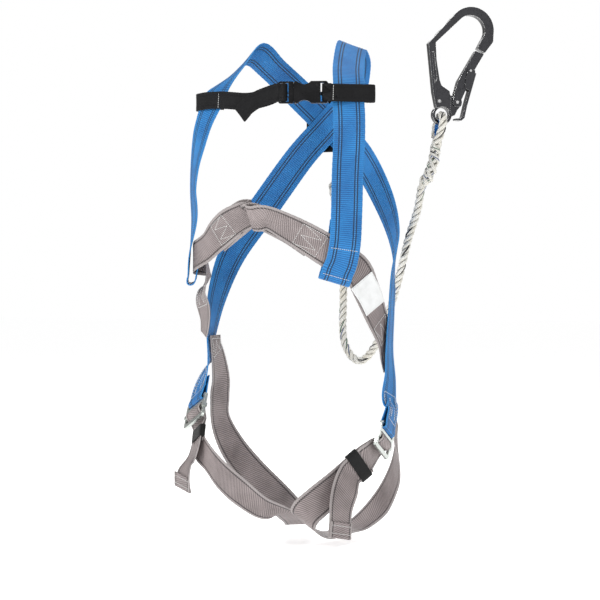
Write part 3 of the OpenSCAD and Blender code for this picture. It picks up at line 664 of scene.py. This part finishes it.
def leg_strap(node, lap=0.0):
    """A grey leg strap with a hemmed tail, sewn on at its upper end."""
    path = strap_path(node)
    if lap:
        path = lapped(path, lap, 0.002)
    path = with_hem(path, HEM, HEM_GAP, front=False)
    grey_web(node, path)
    seams = Seams(path)
    for offset in (0.005, 0.016):
        seams.across(path.length - HEM + offset, 20)
    for sign in (-1, 1):
        seams.box(0.005, 0.022, 17, sign)
    sew(seams, node + "_stitching")


shoulder_strap("shoulder_strap_left")
shoulder_strap("shoulder_strap_right")
chest_loop("chest_loop_left", (0.080, 0.038, 1), (-0.078, 0.034, 1))
chest_loop("chest_loop_right", (0.046, 0.032, 1), (-0.072, 0.030, -1))
leg_strap("leg_strap_left", lap=0.026)
leg_strap("leg_strap_right")


def sew_tie_loop(node, path):
    """The row of stitches that closes a loop of the chest tie."""
    seams = Seams(path)
    seams.across(path.folds()[0] + 0.064, 10.5)
    sew(seams, node + "_stitching")


def chest_ties():
    """The left loop of the chest tie, and the right loop in one length with the run to the plug."""
    left = strap_path("chest_tie_left", start=(0, 1, 0), inside=True)
    web = webbing("chest_tie_left_web", left, BLACK, rib=BLACK_RIB)
    place(web, ROOT, "black_webbing", "chest_tie_left")
    sew_tie_loop("chest_tie_left", left)
    right = strap_path("chest_tie_right", start=(0, 1, 0), inside=True)
    run = strap_path("chest_tie_run")
    whole = with_hem(joined(right, run), 0.012, HEM_GAP, front=True)
    web = webbing("chest_tie_right_web", whole, BLACK, rib=BLACK_RIB)
    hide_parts("chest_tie_right", "chest_tie_run")
    tuple(right.c[-6])
    tuple(run.c[0])
    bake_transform(web)
    sew_tie_loop("chest_tie_right", right)
    seams = Seams(whole)
    seams.across(whole.length - 0.007, 10)
    sew(seams, "chest_tie_tail_stitching", "plug")


def blank_label():
    """A white label sewn down along its four edges."""
    path = strap_path("blank_label")
    cloth = webbing("blank_label_cloth", path, LABEL, thickness=0.7, rib=1.0, rib_height=0.01,
                    cup=0.9, wobble=0.0)
    place(cloth, ROOT, "label_cloth", "blank_label")
    half, low, high = 18.5, 0.002, path.length - 0.002
    fine = {"stitch": 2.4, "radius": 0.25}
    seams = Seams(path, 0.7)
    for u in (-half, half):
        seams.line((u, low), (u, high), **fine)
    for s in (low, high):
        seams.across(s, half, **fine)
    sew(seams, "blank_label_stitching")


chest_ties()
blank_label()


# ---------- keepers ----------
def signed_power(x, power):
    """A power of x's size with x's sign."""
    return math.copysign(abs(x) ** power, x)


def keeper(side):
    """An elastic band round both layers of a leg strap. Its sizes are in mm."""
    node = "strap_keeper_" + side
    points = corners_of(node)[0]
    middle = points.mean(0)
    wide, along, thick = np.linalg.svd(points - middle)[2]
    half_wide, half_thick, half_along = 25.2, 4.7, 9.0
    rows, sides = 31, 72
    vertices, uv = [], []

    def face(row_numbers, inset, proud, shorter):
        """The rings of the band's outer or inner face."""
        for r in row_numbers:
            t = -1 + 2 * r / rows
            for k in range(sides):
                a = TURN * k / sides
                x = (half_wide - inset) * signed_power(math.cos(a), 0.28)
                y = (half_thick - inset) * signed_power(math.sin(a), 0.62)
                x += math.copysign(proud, x) * 0.4
                y += math.copysign(proud, y)
                vertices.append(middle + (wide * x + thick * y + along * half_along * t * shorter) * MM)
                uv.append((0.02 * math.sin(a), t * half_along * MM))

    face(range(rows + 1), inset=0, proud=0.16, shorter=1)
    face(range(rows, -1, -1), inset=1.5, proud=0, shorter=0.995)
    total = 2 * (rows + 1)
    grid = np.arange(total * sides).reshape(total, sides)
    following = np.roll(grid, -1, 0)
    quads = np.stack([grid, np.roll(grid, -1, 1), np.roll(following, -1, 1), following], -1)
    obj = add_object(node + "_band", vertices, quads.reshape(-1, 4).tolist(), elastic, uv)
    place(obj, "keeper_" + side, "keeper_elastic", node)


keeper("left")
keeper("right")


# ---------- rope ----------
ROPE_D = 0.012
STRAND_OFFSET = 0.0034
STRAND_R = 0.00285
STRAND_SIDES = 12
LAY = 0.031
ROPE_STEP = 0.0012
# distance from the top of an eye to its throat, along the rope
THROAT = 0.046
STRANDS = "abc"


def smooth01(x):
    """A smooth step from 0 at 0 to 1 at 1."""
    x = np.clip(x, 0, 1)
    return x * x * (3 - 2 * x)


def strand(name, centre, side, out, s, angle, offset, radius, material):
    """One strand wound round a centre line. offset and radius hold one value for each station."""
    radial = out * np.cos(angle)[:, None] + side * np.sin(angle)[:, None]
    line = centre + radial * offset[:, None]
    forward = unit_rows(np.gradient(line, axis=0))
    up = unit_rows(radial - forward * (radial * forward).sum(1, keepdims=True))
    across = np.cross(forward, up)
    # the seam of the look's places lies on the inner side, out of sight
    a = math.pi + np.arange(STRAND_SIDES) * TURN / STRAND_SIDES
    flat, full = 0.94, 1.06
    ring = up[:, None] * np.cos(a)[None, :, None] * flat + across[:, None] * np.sin(a)[None, :, None] * full
    vertices = line[:, None] + ring * radius[:, None, None]
    last = (len(s) - 1) * STRAND_SIDES
    faces = tube_faces(len(s), STRAND_SIDES)
    faces.append(list(range(STRAND_SIDES - 1, -1, -1)))
    faces.append([last + k for k in range(STRAND_SIDES)])
    uv = np.zeros((len(s), STRAND_SIDES, 2))
    uv[..., 0] = (np.arange(STRAND_SIDES) / STRAND_SIDES)[None]
    uv[..., 1] = s[:, None]
    obj = add_object(name, vertices.reshape(-1, 3), faces, material, uv.reshape(-1, 2))
    place(obj, "link", "white_rope")
    return obj


def eyes_of(path, grid):
    """Each eye of the rope: its top's distance along the path, which way the rope leaves it, its dead end."""
    height = path.at(grid)[0][:, 2]
    quarter = len(grid) // 4
    first = grid[int(np.argmax(height[:quarter]))]
    last = grid[len(grid) - quarter + int(np.argmax(height[-quarter:]))]
    return (first, 1, first), (last, -1, path.length - last)


def drawn_in(path, s, centre, eyes):
    """The main rope drawn over towards each dead end beside it, and how much it swells there."""
    shift, swell = np.zeros_like(centre), np.zeros(len(s))
    most = ROPE_D * 0.62
    for top, sign, reach in eyes:
        x = (s - top) * sign
        beside = path.at(np.clip(top - x * sign, 0, path.length))[0]
        weight = smooth01((x - THROAT + 0.012) / 0.016) * smooth01((reach + 0.018 - x) / 0.03)
        weight *= x > 0
        near = np.where((x > 0)[:, None], (beside - centre) / 2, 0)
        limit = most / np.maximum(np.linalg.norm(near, axis=1, keepdims=True), most)
        shift += near * limit * weight[:, None]
        swell += weight
    return centre + shift, swell


def splice(end, eye, s, centre, side, out, looks):
    """The tucked ends of a splice, wound the other way over the main strands."""
    top, sign, reach = eye
    reverse_lay, taper, tuck_length = LAY * 1.25, 0.012, 0.0105
    x = np.arange(THROAT - 0.004, reach + 0.014, ROPE_STEP)
    i = np.clip(np.searchsorted(s, top + sign * x), 0, len(s) - 1)
    grow = smooth01((x - x[0]) / taper)
    for k, letter in enumerate(STRANDS):
        stop = x[-1] - 0.006 * k
        keep = x <= stop
        here, i_here, grown = x[keep], i[keep], grow[keep]
        tuck = 1 + 0.28 * np.sin((here - x[0]) / tuck_length * math.pi + k * 2.1)
        radius = 0.0027 * (0.55 + 0.45 * grown)
        # the cut end stands a little thicker
        radius *= np.where(stop - here < 0.004, 1.18, 1)
        angle = -here / reverse_lay * TURN * sign + k * TURN / 3 + 0.8
        strand(f"splice_{end}_{letter}", centre[i_here], side[i_here], out[i_here], here * sign, angle,
               0.0046 * grown * tuck + 0.0018, radius, looks[(k + 1) % 3])


def rope():
    """Three laid strands from eye to eye, and a splice behind each eye."""
    path = rope_path("lanyard_rope")
    grid = np.arange(0, path.length, ROPE_STEP)
    eyes = eyes_of(path, grid)
    s = grid[(grid >= eyes[0][0] - THROAT) & (grid <= eyes[1][0] + THROAT)]
    centre, side, out, _ = path.at(s)
    centre, swell = drawn_in(path, s, centre, eyes)
    # a tracer: its place round the strand, half its width, its colour
    dark_and_blue = [(0.5, 0.065, (0.006, 0.007, 0.01)), (0.12, 0.035, (0.01, 0.05, 0.18))]
    green = [(0.72, 0.035, (0.008, 0.09, 0.04))]
    looks = [laid_yarn("rope_strand_traced", dark_and_blue), laid_yarn("rope_strand_plain"),
             laid_yarn("rope_strand_green", green)]
    for k, letter in enumerate(STRANDS):
        wave = 1 + 0.03 * slow_wave(s, 40 + k, 0.02)
        obj = strand(f"lanyard_strand_{letter}", centre, side, out, s, s / LAY * TURN + k * TURN / 3,
                     STRAND_OFFSET * (1 + 0.35 * swell), STRAND_R * wave * (1 + 0.04 * swell), looks[k])
        if letter == STRANDS[0]:
            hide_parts("lanyard_rope")
    for end, eye in zip(("hook", "link"), eyes):
        splice(end, eye, s, centre, side, out, looks)


rope()


# ---------- rigid pieces ----------
def refined(node, slot, material, bevel, edge_material=None, segments=2, angle=32):
    """A CAD solid with its flat faces merged, its edges eased by bevel mm and its shading smoothed."""
    bm = bmesh.new()
    bm.from_mesh(frame["nodes"][node].data)
    same_place, flat_enough = 2e-6, 0.012
    bmesh.ops.remove_doubles(bm, verts=bm.verts, dist=same_place)
    bmesh.ops.dissolve_limit(bm, angle_limit=flat_enough, verts=bm.verts, edges=bm.edges)
    bmesh.ops.recalc_face_normals(bm, faces=bm.faces)
    sharp = math.radians(angle)
    for e in bm.edges:
        e.smooth = len(e.link_faces) == 2 and e.calc_face_angle(0) < sharp
    for f in bm.faces:
        f.smooth = True
        f.material_index = 0
    mesh = bpy.data.meshes.new(node + "_shape")
    bm.to_mesh(mesh)
    bm.free()
    if "custom_normal" in mesh.attributes:
        mesh.attributes.remove(mesh.attributes["custom_normal"])
    mesh.materials.clear()
    mesh.materials.append(material)
    if edge_material:
        mesh.materials.append(edge_material)
    obj = bpy.data.objects.new(node + "_shape", mesh)
    bpy.context.scene.collection.objects.link(obj)
    if bevel:
        ease = obj.modifiers.new("ease", "BEVEL")
        ease.width = bevel * MM
        ease.segments = segments
        ease.limit_method = "ANGLE"
        ease.angle_limit = sharp
        ease.harden_normals = True
        if edge_material:
            ease.material = 1
    place(obj, frame["nodes"][node]["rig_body"], slot, node)


for node in ("buckle_shell", "buckle_plug"):
    refined(node, "black_plastic", plastic, 0.7)
for node in ("buckle_arm_upper", "buckle_arm_lower"):
    refined(node, "black_plastic", plastic, 0.4)
refined("dorsal_plate", "black_plastic", plastic, 0.7)
for side in ("left", "right"):
    refined("leg_buckle_frame_" + side, "zinc_steel", zinc, 1.1, segments=3)
    refined("leg_buckle_bar_" + side, "zinc_steel", zinc, 0.4)
for node in ("dorsal_ring", "link_body", "link_gate", "link_gate_pin"):
    refined(node, "zinc_steel", zinc, 0.3)
for node in ("gate_rivet", "lever_rivet", "body_rivet"):
    refined(node, "zinc_steel", rivet_steel, 0.3)
for node in ("gate_spring", "lever_spring"):
    refined(node, "zinc_steel", zinc, 0)
refined("link_sleeve", "dark_alloy", gunmetal, 0.5, bright)
for node, bevel in (("hook_body", 0.9), ("hook_gate", 0.7), ("hook_lever", 0.6)):
    refined(node, "dark_alloy", gunmetal, bevel, bright)
for node in ("thimble_hook_end", "thimble_link_end"):
    refined(node, "blue_plastic", thimble_blue, 0.25, angle=60)


# ---------- stage ----------
def floor():
    """A plain pale floor, wide enough to run out of sight, with a faint glow of its own."""
    low, reach = cad_box[0][2] - 0.012, 30
    g = Graph("paper_floor")
    fibre = g.noise(300, 3)
    tone = g.mix(g.ramp(fibre, 0.3, 0.7), (0.86, 0.86, 0.86), (0.9, 0.9, 0.9))
    look = g.finish(tone, 0.8, fibre, 0.0001, Emission_Color=(1, 1, 1, 1), Emission_Strength=0.62)
    corners = [(x * reach, y * reach, low) for x, y in ((-1, -1), (1, -1), (1, 1), (-1, 1))]
    add_object("floor", corners, [[0, 1, 2, 3]], look)


def soft_light(name, stand, size, power):
    """A square soft light that faces the middle of the harness."""
    middle = Vector((0, 0, 0.25))
    data = bpy.data.lights.new(name, "AREA")
    data.shape = "SQUARE"
    data.size, data.energy = size, power
    lamp = bpy.data.objects.new(name, data)
    lamp.location = stand
    lamp.rotation_euler = (middle - Vector(stand)).to_track_quat("-Z", "Y").to_euler()
    bpy.context.scene.collection.objects.link(lamp)


def room():
    """A white surround that the camera sees at full strength and the harness at less."""
    world = bpy.data.worlds.new("soft_room")
    world.use_nodes = True
    tree = world.node_tree
    rays = tree.nodes.new("ShaderNodeLightPath")
    strength = tree.nodes.new("ShaderNodeMapRange")
    strength.inputs["To Min"].default_value = 0.42
    strength.inputs["To Max"].default_value = 1.0
    tree.links.new(rays.outputs["Is Camera Ray"], strength.inputs["Value"])
    tree.links.new(strength.outputs[0], tree.nodes["Background"].inputs[1])
    tree.nodes["Background"].inputs[0].default_value = (1, 1, 1, 1)
    bpy.context.scene.world = world
    bpy.context.scene.view_settings.view_transform = "Standard"


def camera():
    """The camera stands at waist height, 3 m away, 25 degrees round to the wearer's left."""
    turn, away, height = math.radians(25), 3.0, 0.204
    data = bpy.data.cameras.new("camera")
    data.lens = 123.3
    data.sensor_width = 36
    data.shift_x = 1 / 300
    obj = bpy.data.objects.new("camera", data)
    obj.location = (away * math.sin(turn), -away * math.cos(turn), height)
    obj.rotation_euler = (math.pi / 2, 0, turn)
    bpy.context.scene.collection.objects.link(obj)
    bpy.context.scene.camera = obj


floor()
soft_light("key", (-1.3, -2.7, 2.2), 1.0, 64)
soft_light("fill", (2.8, -1.7, 1.0), 1.4, 24)
soft_light("top", (0.2, 0.5, 2.8), 1.8, 30)
soft_light("back", (-0.8, 2.6, 1.2), 1.6, 20)
room()
camera()

bpy.context.view_layer.update()
